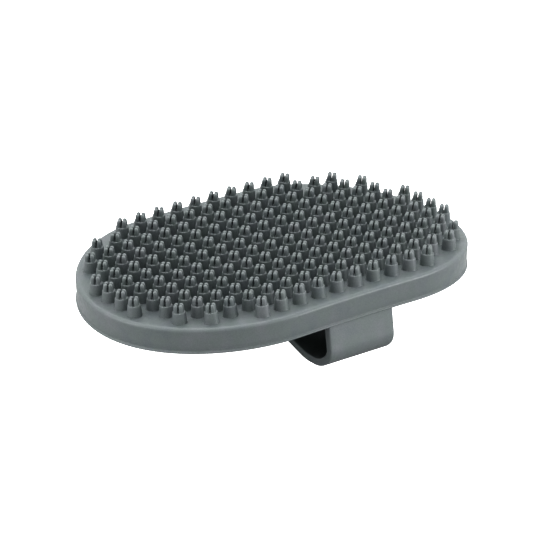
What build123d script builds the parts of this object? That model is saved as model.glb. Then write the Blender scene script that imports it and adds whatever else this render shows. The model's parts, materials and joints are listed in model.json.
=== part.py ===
from build123d import *
import os
from math import atan, cos, degrees, hypot, radians, sin, sqrt, tan

# Rubber curry comb: an oval pad, rows of four-fingered nubs on top and a hand strap underneath.
# Millimetres. +X runs along the pad and +Z points up, on the side of the nubs. The origin is under the
# middle of the comb, on the plane of the two flattened lines that the strap stands on.

# Pad: two half circles joined by straight sides, bent down towards its ends and up towards its sides.
PAD_LENGTH = 130.6  # at the lower rim, like the width
PAD_WIDTH = 87.3
PAD_THICKNESS = 8.4
PAD_FLARE = 3.0  # degrees that the side wall leans out towards the top
TOP_ROUND = 1.5
BOTTOM_ROUND = 0.7
ALONG_RADIUS = 960.0  # the bend that lowers the two ends
ACROSS_RADIUS = 650.0  # the bend that lifts the two long sides

# Nubs: a tapered post with four rounded fingers on its flat top.
NUB_PITCH_X = 7.05
NUB_PITCH_Y = 6.76
NUB_ROWS = 12
NUB_REACH = 40.4  # furthest that a nub's centre lies from the pad's middle line
POST_BASE_RADIUS = 2.3
POST_TOP_RADIUS = 1.95
POST_HEIGHT = 3.5
POST_ROOT = 0.6  # depth of the post inside the pad
FINGER_OFFSET = 1.22
FINGER_BASE_RADIUS = 0.72
FINGER_TIP_RADIUS = 0.66
FINGER_HEIGHT = 2.3

# Strap: a band across the pad. It leaves the pad's edge leaning out, turns under to the line it stands
# on and rises again towards its middle. The radii are those of its outer face.
STRAP_WIDTH = 24.6
STRAP_OFFSET = 0.9  # how far the strap stands from the pad's middle, along X
STRAP_THICKNESS = 2.6
STRAP_EDGE_ROUND = 0.5
STRAP_ROOT = 1.2  # length of the leg inside the pad
LEG_LEAN = 8.0
LEG_LENGTH = 7.8
SIDE_RADIUS = 5.4
SIDE_TURN = 48.0
CORNER_RADIUS = 9.9
REST_LENGTH = 2.0
RISE_RADIUS = 16.0
RISE_ANGLE = 17.3
RISE_LENGTH = 7.1
BOW_RADIUS = 50.0
CROWN_BEND = 7.0  # the last part of the rise, which belongs to the strap's middle

CORE_HALF = (PAD_LENGTH - PAD_WIDTH) / 2
CORNER_TURN = 90.0 + LEG_LEAN - SIDE_TURN
HALF_THICKNESS = STRAP_THICKNESS / 2


def turn_radius(outer_radius, inward=True):
    """Radius of the band's middle line where its outer face has the given radius."""
    return outer_radius - HALF_THICKNESS if inward else outer_radius + HALF_THICKNESS


class BandLine:
    """The band's middle line, in its plane across the pad, drawn as tangent lines and arcs."""

    def __init__(self, y, z, heading):
        self.y, self.z, self.heading = y, z, heading
        self.edges = []

    def ahead(self, length):
        end_y = self.y + length * cos(radians(self.heading))
        end_z = self.z + length * sin(radians(self.heading))
        self.edges.append(Line((STRAP_OFFSET, self.y, self.z), (STRAP_OFFSET, end_y, end_z)))
        self.y, self.z = end_y, end_z

    def turn(self, radius, angle):
        """Turn left by a positive angle, or right by a negative one."""
        side = 1 if angle > 0 else -1
        centre_y = self.y - side * radius * sin(radians(self.heading))
        centre_z = self.z + side * radius * cos(radians(self.heading))
        points = [(STRAP_OFFSET, self.y, self.z)]
        for share in (0.5, 1.0):
            facing = radians(self.heading + share * angle)
            end_y = centre_y + side * radius * sin(facing)
            points.append((STRAP_OFFSET, end_y, centre_z - side * radius * cos(facing)))
        self.edges.append(ThreePointArc(*points))
        _, self.y, self.z = points[-1]
        self.heading += angle


def strap_lines():
    """Middle lines of the front leg, the front shoulder and the crown, for a rest line at z = 0."""
    lean = radians(LEG_LEAN)
    line = BandLine(-PAD_WIDTH / 2 + HALF_THICKNESS, 0, -90.0 - LEG_LEAN)
    line.y += STRAP_ROOT * sin(lean)
    line.z += STRAP_ROOT * cos(lean)
    line.ahead(STRAP_ROOT + LEG_LENGTH)
    line.turn(turn_radius(SIDE_RADIUS), SIDE_TURN)
    line.turn(turn_radius(CORNER_RADIUS), CORNER_TURN)
    line.ahead(REST_LENGTH)
    leg = list(line.edges)
    pad_edge_z = HALF_THICKNESS - line.z
    line.edges.clear()
    line.turn(turn_radius(RISE_RADIUS), RISE_ANGLE)
    line.ahead(RISE_LENGTH)
    line.turn(turn_radius(BOW_RADIUS, inward=False), CROWN_BEND - RISE_ANGLE)
    shoulder = list(line.edges)
    line.edges.clear()
    line.turn(turn_radius(BOW_RADIUS, inward=False), -CROWN_BEND)
    line.ahead(-2 * line.y)
    line.turn(turn_radius(BOW_RADIUS, inward=False), -CROWN_BEND)
    crown = list(line.edges)
    lift = Pos(0, 0, pad_edge_z)
    return [[lift * edge for edge in part] for part in (leg, shoulder, crown)], pad_edge_z


STRAP_PARTS, PAD_EDGE_Z = strap_lines()
SIDE_LIFT = ACROSS_RADIUS - sqrt(ACROSS_RADIUS**2 - (PAD_WIDTH / 2) ** 2)
PAD_BOTTOM_Z = PAD_EDGE_Z - SIDE_LIFT  # at the middle of the underside
PAD_TOP_Z = PAD_BOTTOM_Z + PAD_THICKNESS


def band(edges):
    """Sweep the strap's rounded section along part of its middle line."""
    path = Wire(edges)
    section = RectangleRounded(STRAP_WIDTH, STRAP_THICKNESS, STRAP_EDGE_ROUND)
    start = Plane(origin=path @ 0, x_dir=(1, 0, 0), z_dir=path % 0)
    return sweep(start * section, path=path)


def saddle_slab():
    """Slab between the pad's top and bottom surfaces, larger than the pad all round."""
    half = PAD_WIDTH * 0.7
    swing = 5.0
    lift = ACROSS_RADIUS - sqrt(ACROSS_RADIUS**2 - half**2)
    arcs = []
    for z in (PAD_BOTTOM_Z, PAD_TOP_Z):
        arcs.append(ThreePointArc((0, -half, z + lift), (0, 0, z), (0, half, z + lift)))
    bottom, top = arcs
    profile = make_face([bottom, Line(bottom @ 1, top @ 1), top, Line(top @ 0, bottom @ 0)])
    axis = Axis((0, 0, PAD_BOTTOM_Z - ALONG_RADIUS), (0, 1, 0))
    return revolve(profile.rotate(axis, -swing), axis=axis, revolution_arc=2 * swing)


def pad():
    height = 20.0
    top_width = PAD_WIDTH + 2 * height * tan(radians(PAD_FLARE))
    outline = Pos(0, 0, height) * SlotCenterToCenter(2 * CORE_HALF, top_width)
    block = extrude(outline, amount=1.5 * height, dir=(0, 0, -1), taper=PAD_FLARE)
    body = saddle_slab() & Pos(0, 0, PAD_BOTTOM_Z) * block
    middle = body.center().Z
    rims = [edge for edge in body.edges() if edge.bounding_box().size.length > 20]
    upper = [edge for edge in rims if edge.center().Z > middle]
    body = fillet(upper, TOP_ROUND)
    rims = [edge for edge in body.edges() if edge.bounding_box().size.length > 20]
    lowest = [edge for edge in rims if edge.center().Z < middle - 2]
    return fillet(lowest, BOTTOM_ROUND)


def finger():
    """Tapered finger with a half-round tip, standing on z = 0."""
    neck = FINGER_HEIGHT - FINGER_TIP_RADIUS
    slant = FINGER_TIP_RADIUS * sin(radians(45))
    sides = Polyline((0, 0, 0), (FINGER_BASE_RADIUS, 0, 0), (FINGER_TIP_RADIUS, 0, neck))
    tip = ThreePointArc((FINGER_TIP_RADIUS, 0, neck), (slant, 0, neck + slant), (0, 0, FINGER_HEIGHT))
    axis_line = Line((0, 0, FINGER_HEIGHT), (0, 0, 0))
    return revolve(make_face([*sides.edges(), tip, axis_line]), axis=Axis.Z)


def nub():
    """One nub with its base on z = 0. Its fingers stand along X and along Y."""
    grow = (POST_BASE_RADIUS - POST_TOP_RADIUS) / POST_HEIGHT
    root_radius = POST_BASE_RADIUS + grow * POST_ROOT
    post = Cone(root_radius, POST_TOP_RADIUS, POST_HEIGHT + POST_ROOT, align=(Align.CENTER, Align.CENTER, Align.MIN))
    whole = Pos(0, 0, -POST_ROOT) * post
    for x, y in ((1, 0), (0, 1), (-1, 0), (0, -1)):
        whole += Pos(x * FINGER_OFFSET, y * FINGER_OFFSET, POST_HEIGHT) * finger()
    return whole.solid()


def on_pad(x, y):
    """Place on the pad's top surface at (x, y), with Z along the surface's normal."""
    tilt_y = degrees(atan(x / ALONG_RADIUS))
    tilt_x = degrees(atan(y / ACROSS_RADIUS))
    z = PAD_TOP_Z - x**2 / (2 * ALONG_RADIUS) + y**2 / (2 * ACROSS_RADIUS)
    return Pos(x, y, z) * Rot(tilt_x, tilt_y, 0)


def nub_row(pattern, y):
    """All the nubs of one row. They fill the pad up to an even distance from its edge."""
    count = 0
    while hypot(max((count + 0.5) * NUB_PITCH_X - CORE_HALF, 0), y) <= NUB_REACH:
        count += 1
    places = [(step + 0.5) * NUB_PITCH_X for step in range(-count, count)]
    return Compound([pattern.moved(on_pad(x, y)) for x in places])


def parts():
    leg, shoulder, crown = (band(edges) for edges in STRAP_PARTS)
    named = {
        "pad": pad(),
        "strap_front_leg": leg,
        "strap_rear_leg": mirror(leg, about=Plane.XZ),
        "strap_front_shoulder": shoulder,
        "strap_rear_shoulder": mirror(shoulder, about=Plane.XZ),
        "strap_crown": crown,
    }
    pattern = nub()
    for row in range(NUB_ROWS):
        y = (row - (NUB_ROWS - 1) / 2) * NUB_PITCH_Y
        named[f"nub_row_{row + 1:02d}"] = nub_row(pattern, y)
    return named


os.makedirs("parts", exist_ok=True)
for name, shape in parts().items():
    export_step(shape, f"parts/{name}.step")
    box = shape.bounding_box()
    print(name, len(shape.solids()), [round(v, 2) for v in (*box.min, *box.max)])
print("pad edge", round(PAD_EDGE_Z, 3), "pad bottom", round(PAD_BOTTOM_Z, 3), "pad top", round(PAD_TOP_Z, 3))
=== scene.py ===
import json
import random
from math import atan, cos, hypot, pi, radians, sin

import bmesh
import bpy
from mathutils import Matrix, Vector


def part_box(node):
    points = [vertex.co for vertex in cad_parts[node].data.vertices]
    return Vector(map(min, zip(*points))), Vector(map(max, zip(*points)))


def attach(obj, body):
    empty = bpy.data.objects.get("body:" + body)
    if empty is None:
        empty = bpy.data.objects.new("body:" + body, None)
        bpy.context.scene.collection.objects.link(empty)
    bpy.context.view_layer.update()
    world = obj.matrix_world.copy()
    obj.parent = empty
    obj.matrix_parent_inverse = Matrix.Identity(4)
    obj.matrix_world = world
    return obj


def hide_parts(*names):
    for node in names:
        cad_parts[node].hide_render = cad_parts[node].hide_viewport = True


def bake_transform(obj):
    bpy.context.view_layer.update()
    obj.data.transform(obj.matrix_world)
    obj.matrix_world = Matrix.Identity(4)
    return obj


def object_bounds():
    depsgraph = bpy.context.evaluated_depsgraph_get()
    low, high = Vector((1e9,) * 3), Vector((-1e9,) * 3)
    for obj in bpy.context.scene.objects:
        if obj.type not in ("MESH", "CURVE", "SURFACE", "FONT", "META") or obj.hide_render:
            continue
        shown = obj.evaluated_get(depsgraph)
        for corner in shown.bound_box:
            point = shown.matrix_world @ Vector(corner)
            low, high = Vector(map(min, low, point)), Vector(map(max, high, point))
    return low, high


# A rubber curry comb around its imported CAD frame. Metres, +Z up on the side of the nubs, origin on the
# plane that the comb stands on. Sizes are written in millimetres times MM.

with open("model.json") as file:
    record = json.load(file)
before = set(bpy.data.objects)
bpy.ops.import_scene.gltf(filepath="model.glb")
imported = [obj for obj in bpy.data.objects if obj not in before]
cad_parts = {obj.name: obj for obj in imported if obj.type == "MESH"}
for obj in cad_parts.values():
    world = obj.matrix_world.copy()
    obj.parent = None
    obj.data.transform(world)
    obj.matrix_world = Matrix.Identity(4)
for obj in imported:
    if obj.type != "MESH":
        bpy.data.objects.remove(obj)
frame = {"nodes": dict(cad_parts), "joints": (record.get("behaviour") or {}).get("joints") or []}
cad_low, cad_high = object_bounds()
random.seed(7)

MM = 0.001

# The pad's saddle bend, and its section from the lower rim to the upper one.
ALONG_RADIUS = 960 * MM
ACROSS_RADIUS = 650 * MM
TWIST = -0.12  # the warp of the moulding: how far each metre of x turns the pad's section
PAD_HALF_WIDTH = 43.65 * MM  # at the lower rim
CORE_HALF = 21.65 * MM  # half the length of the straight sides
PAD_THICKNESS = 8.4 * MM
PAD_FLARE = radians(3.0)  # how far the side wall leans out towards the top
TOP_ROUND = 1.2 * MM
LIP_HEIGHT = 0.85 * MM  # the moulding lip that runs along the pad's lower edge
LIP_DEPTH = 0.42 * MM  # how far it stands out past the outline
LIP_INSET = 0.22 * MM  # how far inside the outline it begins and ends
GROOVE_DEPTH = 0.12 * MM  # over the lip
WALL_FOOT = 1.15 * LIP_HEIGHT  # the height at which the groove lies and the wall begins

# Where the pad's mesh has its rings and its steps.
END_STEPS = 56  # round each half circle of the outline
SIDE_STEPS = 36  # along each straight side
LIP_STEPS = 8
ROUND_STEPS = 10
WALL_SHARES = [0.0, 0.08, 0.35, 0.65, 0.94]  # of the way from the wall's foot to the rounding over it
FLAT_SHARES = [0.3, 0.5, 0.75, 0.999]  # of the way from the outline to the pad's middle line
UNDER_INSETS = [0.15 * PAD_HALF_WIDTH, 0.06 * PAD_HALF_WIDTH, 1.1 * MM, 0.55 * MM]  # near the lip, underneath
TOP_INSETS = [0.5 * MM, 2 * MM, 5 * MM]  # inward from the rounding, on top
SAME_POINT = 0.1 * MM  # points nearer than this are merged, which closes the pad along its middle line

# One nub: a tapered post, its flat shoulder and the four fingers on it.
NUB_ROWS = 12
NUB_PITCH_X = 7.05 * MM
NUB_LEAN = radians(0.5)  # the most that a nub leans to a side, as moulded rubber does
NUB_TURN = radians(1.5)  # the most that it is turned about its own axis
POST_HEIGHT = 3.5 * MM
POST_RADIUS = 2.36 * MM  # at the pad
SHOULDER_RADIUS = 2.0 * MM
ROOT_FLARE = 0.06 * MM  # how much wider than the post its root is
FINGER_HEIGHT = 2.3 * MM
FINGER_OFFSET = 1.25 * MM
FINGER_LEAN_IN = 0.18 * MM  # how much nearer to the nub's middle a finger is at its tip
FINGER_RADIUS = 0.74 * MM

# The rings and points of a nub's cage, which is then subdivided.
ROOT_RINGS = [(-0.25 * MM, 1.6), (-0.04 * MM, 1.0), (0.14 * MM, 0.3)]  # (height, share of the root's flare)
POST_RINGS = [0.45 * MM, 1.5 * MM, 2.6 * MM, POST_HEIGHT - 0.2 * MM, POST_HEIGHT]  # heights
FINGER_RINGS = [  # (height, radius) as shares of the finger's own, up to its round tip
    (0.0, 0.97),
    (0.12, 1.0),
    (0.5, 0.98),
    (0.78, 0.92),
    (0.94, 0.82),
    (1.03, 0.54),
    (1.05, 0.25),
]
SLOT_RADII = [1.72 * MM, 1.25 * MM, 0.62 * MM]  # points along the cross slot between the fingers
RING_OF_8 = 6 / (4 + 2 * cos(pi / 4))  # how much larger a cage ring of 8 is than the round that it gives
RING_OF_16 = 6 / (4 + 2 * cos(pi / 8))

# A nub is paler at its fingers' tips and along its shoulder's edge, partly worn and partly a painted
# highlight, which is what lies outside this radius and within this height of the shoulder.
PALE_EDGE_RADIUS = 0.8 * SHOULDER_RADIUS
PALE_EDGE_HEIGHT = 0.25 * MM

# The strap's middle line, as in its CAD pieces, and its section. Its radii are those of its outer face.
strap_low, strap_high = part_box("strap_crown")
STRAP_MIDDLE = (strap_low.x + strap_high.x) / 2  # along X
STRAP_WIDTH = strap_high.x - strap_low.x
STRAP_THICKNESS = 2.6 * MM
STRAP_EDGE_ROUND = 0.5 * MM
STRAP_ROOT = 1.2 * MM  # length of the leg inside the pad
LEG_LEAN = radians(8.0)
LEG_LENGTH = 7.8 * MM
SIDE_RADIUS = 5.4 * MM
SIDE_TURN = radians(48.0)
CORNER_RADIUS = 9.9 * MM
REST_LENGTH = 2.0 * MM
RISE_RADIUS = 16 * MM
RISE_ANGLE = radians(17.3)
RISE_LENGTH = 7.1 * MM
BOW_RADIUS = 50 * MM
CORNER_STEPS = 6  # mesh steps round each corner of the section
FACE_STEPS = 14  # mesh steps across its wide faces

# The rubber's colours: two greys and a greener one in soft patches, and a paler one for wear and a painted
# highlight.
DARK_GREY = (0.098, 0.112, 0.116, 1.0)
LIGHT_GREY = (0.118, 0.127, 0.132, 1.0)
GREEN_GREY = (0.106, 0.121, 0.120, 1.0)
WORN_HIGHLIGHT_GREY = (0.19, 0.205, 0.205, 1.0)
MOST_WORN_HIGHLIGHT = 0.2  # share of the pale colour, partly wear and partly painted highlight, at the palest points
SHINE = 0.45  # the specular level of the rubber's shader

# The studio.
WHITE = (1.0, 1.0, 1.0, 1.0)
FLOOR_GREY = (0.5, 0.5, 0.5, 1.0)  # what the floor sends back to the comb
FLOOR_HALF = 3.0  # half the floor's side
FLOOR_GAP = 1 * MM  # between the floor and the strap at its lowest
LIGHTS = [  # name, place, side of its square, watts
    ("overhead", (-0.1, 0.25, 1.1), 1.3, 8),
    ("right", (0.9, -1.0, 0.35), 0.6, 9),
    ("left", (-1.1, 0.35, 0.45), 0.6, 4),
]

# The camera, in the direction of the photograph's view.
VIEW_AZIMUTH = radians(-36.67)
VIEW_ELEVATION = radians(23.79)
VIEW_DISTANCE = 1.269
VIEW_SENSOR = 36  # millimetres, like the lens
VIEW_LENS = 266.06
VIEW_AIM_OVER_PAD = 4.15 * MM
VIEW_AIM_RIGHT = 0.475 * MM
VIEW_AIM_DOWN = 11.07 * MM


def pad_top_height():
    """Height of the pad's CAD surface at the middle of its top."""
    _, place, _, _ = frame["nodes"]["pad"].ray_cast(Vector((0, 0, cad_high.z)), Vector((0, 0, -1)))
    return place.z


PAD_TOP = pad_top_height()
VIEW_AIM = Vector((0, 0, PAD_TOP + VIEW_AIM_OVER_PAD))


# ---------------------------------------------------------------- mesh helpers

def new_piece(name, mesh, material):
    piece = bpy.data.objects.new(name, mesh)
    bpy.context.scene.collection.objects.link(piece)
    mesh.materials.append(material)
    for face in mesh.polygons:
        face.use_smooth = True
    return piece


def mesh_of(name, bm):
    mesh = bpy.data.meshes.new(name)
    bm.to_mesh(mesh)
    bm.free()
    return mesh


def subdivided(name, mesh):
    """The mesh with a subdivision surface applied to it."""
    holder = bpy.data.objects.new(name, mesh)
    bpy.context.scene.collection.objects.link(holder)
    holder.modifiers.new("round", "SUBSURF").levels = 1
    graph = bpy.context.evaluated_depsgraph_get()
    result = bpy.data.meshes.new_from_object(holder.evaluated_get(graph))
    bpy.data.objects.remove(holder)
    return result


def loft(bm, rings):
    """Quads between each closed ring of vertices and the next, which has as many."""
    for lower, upper in zip(rings, rings[1:]):
        for i in range(len(lower)):
            j = (i + 1) % len(lower)
            bm.faces.new((lower[i], lower[j], upper[j], upper[i]))


# ---------------------------------------------------------------- pad

def saddle(x, y):
    """How far the bent pad stands above its middle at (x, y)."""
    return y * y / (2 * ACROSS_RADIUS) - x * x / (2 * ALONG_RADIUS) + TWIST * x * y


def stadium(radius):
    """Points of a closed outline: two half circles of this radius joined by straight sides."""
    points = []
    for side in (1, -1):
        for i in range(END_STEPS):
            angle = side * pi / 2 - pi * i / END_STEPS
            points.append((side * CORE_HALF + radius * cos(angle), radius * sin(angle)))
        for i in range(SIDE_STEPS):
            points.append((side * CORE_HALF * (1 - 2 * i / SIDE_STEPS), -side * radius))
    return points


def pad_section():
    """(inset, height) from the middle of the underside, round the rim, to the middle of the top."""
    flats = [PAD_HALF_WIDTH * share for share in FLAT_SHARES]
    section = [(inset, 0) for inset in flats[::-1] + UNDER_INSETS]
    for i in range(1, LIP_STEPS):
        angle = pi * i / LIP_STEPS
        inset = LIP_INSET - (LIP_INSET + LIP_DEPTH) * sin(angle)
        section.append((inset, LIP_HEIGHT * (1 - cos(angle)) / 2))
    wall_top = PAD_THICKNESS - TOP_ROUND
    for share in WALL_SHARES:
        height = WALL_FOOT + (wall_top - WALL_FOOT) * share
        groove = GROOVE_DEPTH if share == 0 else 0
        section.append((groove - height * sin(PAD_FLARE), height))
    top_inset = TOP_ROUND - wall_top * sin(PAD_FLARE)
    for i in range(ROUND_STEPS + 1):
        angle = pi / 2 * i / ROUND_STEPS
        section.append((top_inset - TOP_ROUND * cos(angle), wall_top + TOP_ROUND * sin(angle)))
    section += [(top_inset + inset, PAD_THICKNESS) for inset in TOP_INSETS]
    section += [(inset, PAD_THICKNESS) for inset in flats]
    return section


def pad_mesh():
    bm = bmesh.new()
    rings = []
    for inset, height in pad_section():
        base = PAD_TOP - PAD_THICKNESS + height
        ring = [bm.verts.new((x, y, base + saddle(x, y))) for x, y in stadium(PAD_HALF_WIDTH - inset)]
        rings.append(ring)
    loft(bm, rings)
    bmesh.ops.remove_doubles(bm, verts=bm.verts, dist=SAME_POINT)
    bmesh.ops.recalc_face_normals(bm, faces=bm.faces)
    return mesh_of("pad_mesh", bm)


# ---------------------------------------------------------------- nubs

def polar(radius, angle, z):
    return (radius * cos(angle), radius * sin(angle), z)


def post_rings():
    """(radius, height) of the cage's rings round the post, from inside the pad to the shoulder."""
    slope = (POST_RADIUS - SHOULDER_RADIUS) / POST_HEIGHT
    root = [(POST_RADIUS + ROOT_FLARE * share, height) for height, share in ROOT_RINGS]
    return root + [(POST_RADIUS - slope * height, height) for height in POST_RINGS]


def finger_ring(facing, height, size):
    """The eight cage points round a finger at one height."""
    offset = FINGER_OFFSET - FINGER_LEAN_IN * height
    radius = FINGER_RADIUS * size * RING_OF_8
    points = []
    for j in range(8):
        out = offset + radius * cos(j * pi / 4)
        side = radius * sin(j * pi / 4)
        place = (out * cos(facing) - side * sin(facing), out * sin(facing) + side * cos(facing))
        points.append((*place, POST_HEIGHT + height * FINGER_HEIGHT))
    return points


def add_finger(bm, facing):
    """Add the finger that stands on that side of the nub, and return the ring at its foot."""
    rings = []
    for height, size in FINGER_RINGS:
        rings.append([bm.verts.new(point) for point in finger_ring(facing, height, size)])
    loft(bm, rings)
    bm.faces.new(rings[-1])
    return rings[0]


def add_shoulder(bm, rim, feet):
    """Add the flat shoulder between the post's rim and the fingers' feet, and the cross slot in it."""
    slots = []
    for k in range(4):
        facing = (k + 0.5) * pi / 2
        slots.append([bm.verts.new(polar(radius, facing, POST_HEIGHT)) for radius in SLOT_RADII])
    middle = bm.verts.new((0, 0, POST_HEIGHT))
    for k in range(4):
        foot, ahead, behind = feet[k], slots[k], slots[k - 1]
        near = [rim[(4 * k + i) % 16] for i in (-2, -1, 0, 1, 2)]
        bm.faces.new((near[2], near[3], foot[1], foot[0]))
        bm.faces.new((near[1], near[2], foot[0], foot[7]))
        bm.faces.new((near[3], near[4], ahead[0], foot[1]))
        bm.faces.new((near[0], near[1], foot[7], behind[0]))
        for i in (0, 1):
            bm.faces.new((foot[1 + i], ahead[i], ahead[i + 1], foot[2 + i]))
            bm.faces.new((behind[i], foot[7 - i], foot[6 - i], behind[i + 1]))
        bm.faces.new((foot[3], ahead[2], middle, foot[4]))
        bm.faces.new((behind[2], foot[5], foot[4], middle))


def nub_mesh():
    """One nub on z = 0 with its fingers along X and Y, as a subdivided cage."""
    bm = bmesh.new()
    rings = []
    for radius, z in post_rings():
        rings.append([bm.verts.new(polar(radius * RING_OF_16, k * pi / 8, z)) for k in range(16)])
    loft(bm, rings)
    feet = [add_finger(bm, k * pi / 2) for k in range(4)]
    add_shoulder(bm, rings[-1], feet)
    return subdivided("nub_pattern", mesh_of("nub_cage", bm))


def pad_place(x, y):
    """Place of a nub on the pad's top at (x, y): Z along its normal, but for the moulding's unevenness."""
    tilt = Matrix.Rotation(atan(x / ALONG_RADIUS) + random.uniform(-NUB_LEAN, NUB_LEAN), 4, "Y")
    tilt = Matrix.Rotation(atan(y / ACROSS_RADIUS) + random.uniform(-NUB_LEAN, NUB_LEAN), 4, "X") @ tilt
    turn = Matrix.Rotation(random.uniform(-NUB_TURN, NUB_TURN), 4, "Z")
    return Matrix.Translation((x, y, PAD_TOP + saddle(x, y))) @ tilt @ turn


def wear_and_highlight_at(corner):
    """How pale a point of a nub is made, from 0 to 1, partly as wear and partly as a painted highlight: at
    the fingers' tips and along the shoulder's edge.
    """
    tip = (corner.z - POST_HEIGHT) / FINGER_HEIGHT * 2 - 1
    edge = 0.0
    if hypot(corner.x, corner.y) > PALE_EDGE_RADIUS:
        edge = 1 - abs(corner.z - POST_HEIGHT) / PALE_EDGE_HEIGHT
    return max(tip, edge, 0.0)


def nub_row_mesh(pattern, name, node):
    """The pattern repeated along a row, as many times as fit in the box of the row's CAD node."""
    low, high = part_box(node)
    count = round((high.x - low.x - 2 * POST_RADIUS) / NUB_PITCH_X) + 1
    y = (low.y + high.y) / 2
    points, faces, wear_and_highlight = [], [], []
    corners = [vertex.co.copy() for vertex in pattern.vertices]
    sides = [tuple(face.vertices) for face in pattern.polygons]
    # How pale each point is painted: partly wear, partly a painted highlight at the tips and the shoulder's
    # edge.
    pattern_wear_and_highlight = [wear_and_highlight_at(corner) for corner in corners]
    for step in range(count):
        x = (step - (count - 1) / 2) * NUB_PITCH_X
        place = pad_place(x, y)
        start = len(points)
        points += [place @ corner for corner in corners]
        faces += [tuple(start + i for i in side) for side in sides]
        wear_and_highlight += pattern_wear_and_highlight
    mesh = bpy.data.meshes.new(name)
    mesh.from_pydata(points, [], faces)
    mesh.attributes.new("wear_and_highlight", "FLOAT", "POINT").data.foreach_set("value", wear_and_highlight)
    return mesh


# ---------------------------------------------------------------- strap

class BandLine:
    """Stations (y, z, heading) along the band's middle line, drawn as tangent lines and arcs."""

    def __init__(self, y, z, heading):
        self.stations = [(y, z, heading)]

    def ahead(self, length, steps):
        y, z, heading = self.stations[-1]
        for i in range(1, steps + 1):
            far = length * i / steps
            self.stations.append((y + far * cos(heading), z + far * sin(heading), heading))

    def turn(self, radius, angle, steps):
        """Turn left by a positive angle, or right by a negative one."""
        y, z, heading = self.stations[-1]
        side = 1 if angle > 0 else -1
        centre_y = y - side * radius * sin(heading)
        centre_z = z + side * radius * cos(heading)
        for i in range(1, steps + 1):
            facing = heading + angle * i / steps
            end_y = centre_y + side * radius * sin(facing)
            end_z = centre_z - side * radius * cos(facing)
            self.stations.append((end_y, end_z, facing))


def strap_stations():
    """The front half of the band's middle line, from inside the pad's edge to y = 0, at rest."""
    half = STRAP_THICKNESS / 2
    start_y = -PAD_HALF_WIDTH + half + STRAP_ROOT * sin(LEG_LEAN)
    line = BandLine(start_y, STRAP_ROOT * cos(LEG_LEAN), -pi / 2 - LEG_LEAN)
    line.ahead(STRAP_ROOT + LEG_LENGTH, steps=9)
    line.turn(SIDE_RADIUS - half, SIDE_TURN, steps=14)
    line.turn(CORNER_RADIUS - half, pi / 2 + LEG_LEAN - SIDE_TURN, steps=14)
    line.ahead(REST_LENGTH, steps=3)
    line.turn(RISE_RADIUS - half, RISE_ANGLE, steps=7)
    line.ahead(RISE_LENGTH, steps=6)
    line.turn(BOW_RADIUS + half, -RISE_ANGLE, steps=10)
    line.ahead(-line.stations[-1][0], steps=8)
    lift = half - min(z for _, z, _ in line.stations)
    return [(y, z + lift, heading) for y, z, heading in line.stations]


def band_section():
    """(across, through) points round the band's rounded section."""
    half = STRAP_THICKNESS / 2
    corner_across = STRAP_WIDTH / 2 - STRAP_EDGE_ROUND
    corner_through = half - STRAP_EDGE_ROUND
    points = []
    for quarter, (side, face) in enumerate(((1, 1), (-1, 1), (-1, -1), (1, -1))):
        for i in range(CORNER_STEPS + 1):
            angle = pi / 2 * (quarter + i / CORNER_STEPS)
            across = side * corner_across + STRAP_EDGE_ROUND * cos(angle)
            points.append((across, face * corner_through + STRAP_EDGE_ROUND * sin(angle)))
        if side == face:
            for i in range(1, FACE_STEPS):
                points.append((side * corner_across * (1 - 2 * i / FACE_STEPS), face * half))
    return points


def strap_half_mesh(name, side):
    """The half of the strap on the front (side -1) or the rear (side 1), closed at both ends."""
    bm = bmesh.new()
    section = band_section()
    rings = []
    for y, z, heading in strap_stations():
        ring = []
        for across, through in section:
            place_y = -side * (y - through * sin(heading))
            ring.append(bm.verts.new((STRAP_MIDDLE + across, place_y, z + through * cos(heading))))
        rings.append(ring)
    loft(bm, rings)
    for ring in (rings[0], rings[-1]):
        for edge in bm.faces.new(ring).edges:
            edge.smooth = False
    bmesh.ops.recalc_face_normals(bm, faces=bm.faces)
    return mesh_of(name, bm)


# ---------------------------------------------------------------- materials

class Nodes:
    """A short way to add and link the nodes of one material."""

    def __init__(self, name):
        self.material = bpy.data.materials.new(name)
        self.material.use_nodes = True
        self.tree = self.material.node_tree
        self.shader = self.tree.nodes["Principled BSDF"]

    def add(self, kind, inputs=(), **settings):
        node = self.tree.nodes.new(kind)
        for key, value in settings.items():
            setattr(node, key, value)
        for key, value in dict(inputs).items():
            if isinstance(value, bpy.types.NodeSocket):
                self.tree.links.new(value, node.inputs[key])
            else:
                node.inputs[key].default_value = value
        return node

    def feed(self, socket, output):
        """Link an output to one of the shader's own sockets."""
        self.tree.links.new(output, self.shader.inputs[socket])

    def millimetres(self):
        """The point's place on its object, in millimetres."""
        metres = self.add("ShaderNodeTexCoord").outputs["Object"]
        scaled = self.add("ShaderNodeMapping", {"Vector": metres, "Scale": (1 / MM,) * 3})
        return scaled.outputs["Vector"]

    def noise(self, place, scale, detail=3.0, roughness=0.5):
        inputs = {"Vector": place, "Scale": scale, "Detail": detail, "Roughness": roughness}
        return self.add("ShaderNodeTexNoise", inputs).outputs["Fac"]

    def bump(self, height, **inputs):
        return self.add("ShaderNodeBump", {"Height": height, **inputs}).outputs["Normal"]

    def span(self, value, low, high, to_low, to_high):
        inputs = {"Value": value, "From Min": low, "From Max": high, "To Min": to_low, "To Max": to_high}
        return self.add("ShaderNodeMapRange", inputs).outputs["Result"]

    def mix(self, factor, first, second, kind="MIX"):
        node = self.add("ShaderNodeMix", data_type="RGBA", blend_type=kind)
        for key, value in (("Factor_Float", factor), ("A_Color", first), ("B_Color", second)):
            socket = next(s for s in node.inputs if s.identifier == key)
            if isinstance(value, bpy.types.NodeSocket):
                self.tree.links.new(value, socket)
            else:
                socket.default_value = value
        return next(s for s in node.outputs if s.identifier == "Result_Color")


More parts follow.
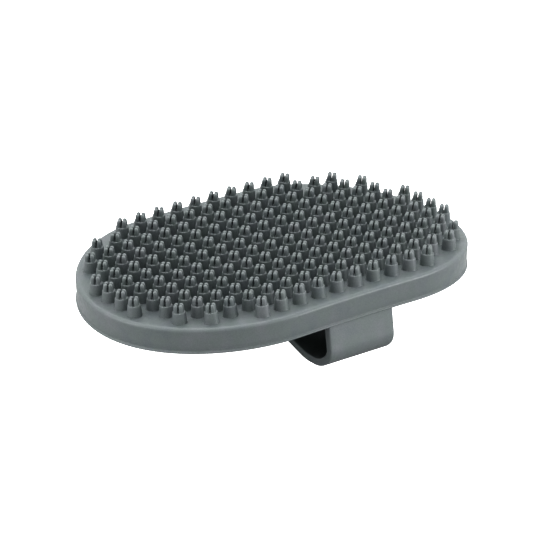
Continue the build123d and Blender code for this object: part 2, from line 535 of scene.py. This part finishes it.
def rubber(name, worn_and_highlit=False):
    """Matt moulded rubber, faintly mottled, with a fine grain. On the nubs the fingers' tips and the
    shoulder's edge are paler, partly as wear and partly as a painted highlight.
    """
    nodes = Nodes(name)
    place = nodes.millimetres()

    patches = nodes.span(nodes.noise(place, 0.09, 4), 0.35, 0.65, 0, 1)
    colour = nodes.mix(patches, DARK_GREY, LIGHT_GREY)
    tints = nodes.span(nodes.noise(place, 0.22, 2), 0.4, 0.62, 0, 1)
    colour = nodes.mix(tints, colour, GREEN_GREY)
    specks = nodes.span(nodes.noise(place, 3.2, 2), 0.35, 0.65, 0.93, 1.06)
    speck_colour = nodes.add("ShaderNodeCombineColor", {"Red": specks, "Green": specks, "Blue": specks})
    colour = nodes.mix(1.0, colour, speck_colour.outputs["Color"], "MULTIPLY")
    # The nubs' tips and shoulder edges are made paler here: partly wear, partly a painted highlight.
    if worn_and_highlit:
        wear_and_highlight = nodes.add("ShaderNodeAttribute", attribute_name="wear_and_highlight").outputs["Fac"]
        colour = nodes.mix(nodes.span(wear_and_highlight, 0.0, 1.0, 0.0, MOST_WORN_HIGHLIGHT), colour, WORN_HIGHLIGHT_GREY)
    nodes.feed("Base Color", colour)

    nodes.feed("Roughness", nodes.span(nodes.noise(place, 0.6, 3), 0.3, 0.7, 0.40, 0.50))
    nodes.shader.inputs["Specular IOR Level"].default_value = SHINE

    grain = nodes.bump(nodes.noise(place, 2.6, 3, 0.6), Strength=0.12, Distance=0.08 * MM)
    waves = nodes.bump(nodes.noise(place, 0.35, 2), Strength=0.2, Distance=0.25 * MM, Normal=grain)
    nodes.feed("Normal", waves)
    return nodes.material


# ---------------------------------------------------------------- the comb

def make_pad(material):
    pad = new_piece("pad_body", pad_mesh(), material)
    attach(pad, "comb")
    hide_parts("pad")


def make_nubs(material):
    pattern = nub_mesh()
    for number in range(1, NUB_ROWS + 1):
        node = f"nub_row_{number:02d}"
        name = f"nubs_{number:02d}"
        row = new_piece(name, nub_row_mesh(pattern, name, node), material)
        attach(row, "comb")
        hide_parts(node)


def make_strap(material):
    for side, name, nodes in (
        (-1, "strap_front", ("strap_front_leg", "strap_front_shoulder", "strap_crown")),
        (1, "strap_rear", ("strap_rear_leg", "strap_rear_shoulder")),
    ):
        half = new_piece(name, strap_half_mesh(name, side), material)
        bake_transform(half)
        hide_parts(*nodes)


# ---------------------------------------------------------------- studio

def deepest_bow():
    """How far below its rest line the strap reaches when a hand fills it."""
    _, travel = frame["joints"][0]["range_m"]
    return travel - strap_low.z


def make_floor():
    """A floor that is white to the eye, lights the comb as a grey one would and is clear from below."""
    bm = bmesh.new()
    bmesh.ops.create_grid(bm, x_segments=1, y_segments=1, size=FLOOR_HALF)
    floor = bpy.data.objects.new("floor", mesh_of("floor", bm))
    bpy.context.scene.collection.objects.link(floor)
    floor.location.z = cad_low.z - deepest_bow() - FLOOR_GAP
    nodes = Nodes("pale_floor")
    nodes.shader.inputs["Base Color"].default_value = FLOOR_GREY
    nodes.shader.inputs["Roughness"].default_value = 0.9
    nodes.shader.inputs["Specular IOR Level"].default_value = 0.1
    nodes.shader.inputs["Emission Color"].default_value = WHITE
    nodes.feed("Emission Strength", nodes.add("ShaderNodeLightPath").outputs["Is Camera Ray"])
    clear = nodes.add("ShaderNodeBsdfTransparent").outputs["BSDF"]
    below = nodes.add("ShaderNodeNewGeometry").outputs["Backfacing"]
    shown = nodes.add("ShaderNodeMixShader", {0: below, 1: nodes.shader.outputs["BSDF"], 2: clear})
    nodes.tree.links.new(shown.outputs["Shader"], nodes.tree.nodes["Material Output"].inputs["Surface"])
    floor.data.materials.append(nodes.material)


def make_light(name, place, size, power):
    data = bpy.data.lights.new(name, "AREA")
    data.shape = "SQUARE"
    data.size = size
    data.energy = power
    light = bpy.data.objects.new(name, data)
    bpy.context.scene.collection.objects.link(light)
    light.location = place
    light.rotation_euler = (VIEW_AIM - Vector(place)).to_track_quat("-Z", "Y").to_euler()


def make_studio():
    world = bpy.data.worlds.new("studio")
    world.use_nodes = True
    background = world.node_tree.nodes["Background"]
    background.inputs["Color"].default_value = WHITE
    background.inputs["Strength"].default_value = 1.0
    bpy.context.scene.world = world
    bpy.context.scene.view_settings.view_transform = "Standard"
    bpy.context.scene.view_settings.look = "Very High Contrast"
    make_floor()
    for name, place, size, power in LIGHTS:
        make_light(name, place, size, power)


def make_camera():
    right = Vector((cos(VIEW_AZIMUTH), sin(VIEW_AZIMUTH), 0))
    level = cos(VIEW_ELEVATION)
    back = Vector((sin(VIEW_AZIMUTH) * level, -cos(VIEW_AZIMUTH) * level, sin(VIEW_ELEVATION)))
    data = bpy.data.cameras.new("camera")
    data.sensor_width = VIEW_SENSOR
    data.lens = VIEW_LENS
    camera = bpy.data.objects.new("camera", data)
    bpy.context.scene.collection.objects.link(camera)
    aim = VIEW_AIM + VIEW_AIM_RIGHT * right - VIEW_AIM_DOWN * back.cross(right)
    camera.location = aim + back * VIEW_DISTANCE
    camera.rotation_mode = "QUATERNION"
    camera.rotation_quaternion = (-back).to_track_quat("-Z", "Y")
    bpy.context.scene.camera = camera


make_camera()
make_studio()
make_pad(rubber("pad_rubber"))
make_nubs(rubber("nub_rubber", worn_and_highlit=True))
make_strap(rubber("strap_rubber"))
